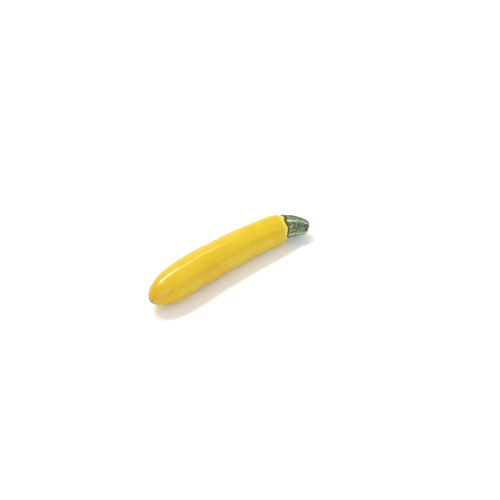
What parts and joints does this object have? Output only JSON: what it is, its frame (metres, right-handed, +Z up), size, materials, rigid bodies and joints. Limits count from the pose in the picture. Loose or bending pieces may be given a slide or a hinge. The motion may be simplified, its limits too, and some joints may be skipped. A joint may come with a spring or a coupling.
{
  "type": "yellow zucchini",
  "caption": "Yellow zucchini lying on its side: a slim, gently bent golden fruit with a five-angled green stem cut off short.",
  "frame": {"origin": "under the middle of the whole object's box, on the surface that the fruit lies on", "axes": "+X from the blossom end towards the stem, +Z up; the bend lies level and bulges towards +Y"},
  "size_m": [0.209, 0.0456, 0.0375],
  "materials": {
    "fruit_skin": "smooth waxy rind",
    "stem_green": "rough ribbed stalk"
  },
  "bodies": {
    "root": {"fruit": "fruit_skin", "stem": "stem_green"}
  },
  "joints": []
}
